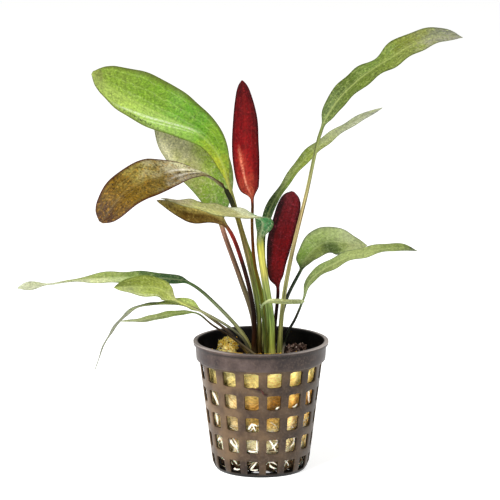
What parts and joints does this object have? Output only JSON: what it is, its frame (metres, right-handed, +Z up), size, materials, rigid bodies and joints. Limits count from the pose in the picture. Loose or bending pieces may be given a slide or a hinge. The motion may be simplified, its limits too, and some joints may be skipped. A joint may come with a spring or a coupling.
{
  "type": "potted amazon sword plant",
  "caption": "Amazon sword plant with green, olive, brown and red leaves on slim petioles, rooted in a mineral wool plug that fills a black net pot standing on its flat base.",
  "frame": {"origin": "centre of the pot's flat base, on the pot's axis", "axes": "+Z up along the pot's axis, +X to the right and -Y towards the viewer in the reference view"},
  "size_m": [0.1802, 0.0701, 0.1799],
  "materials": {
    "pot_plastic": "satin",
    "mineral_wool": "matte",
    "crown_tissue": "matte",
    "root_tissue": "matte",
    "leaf_bright_green": "satin",
    "leaf_olive_green": "satin",
    "leaf_pale_green": "satin",
    "leaf_brown": "satin",
    "leaf_red": "satin"
  },
  "bodies": {
    "root": {"net_pot": "pot_plastic", "rockwool_plug": "mineral_wool", "crown": "crown_tissue", "root_01": "root_tissue", "root_02": "root_tissue", "root_03": "root_tissue", "root_04": "root_tissue", "root_05": "root_tissue", "root_06": "root_tissue", "root_07": "root_tissue", "root_08": "root_tissue", "leaf_large_green": "leaf_bright_green", "leaf_green_behind": "leaf_olive_green", "leaf_brown_arched": "leaf_brown", "leaf_pale_level": "leaf_pale_green", "leaf_brown_low": "leaf_brown", "leaf_red_upright": "leaf_red", "leaf_tall_right": "leaf_olive_green", "leaf_slender_right": "leaf_olive_green", "leaf_red_leaning": "leaf_red", "leaf_hooked_right": "leaf_bright_green", "leaf_arched_right": "leaf_bright_green", "leaf_bent_strap": "leaf_pale_green", "leaf_long_left": "leaf_pale_green", "leaf_small_left": "leaf_bright_green", "leaf_thin_left": "leaf_pale_green", "leaf_drooping_left": "leaf_olive_green"}
  },
  "joints": []
}
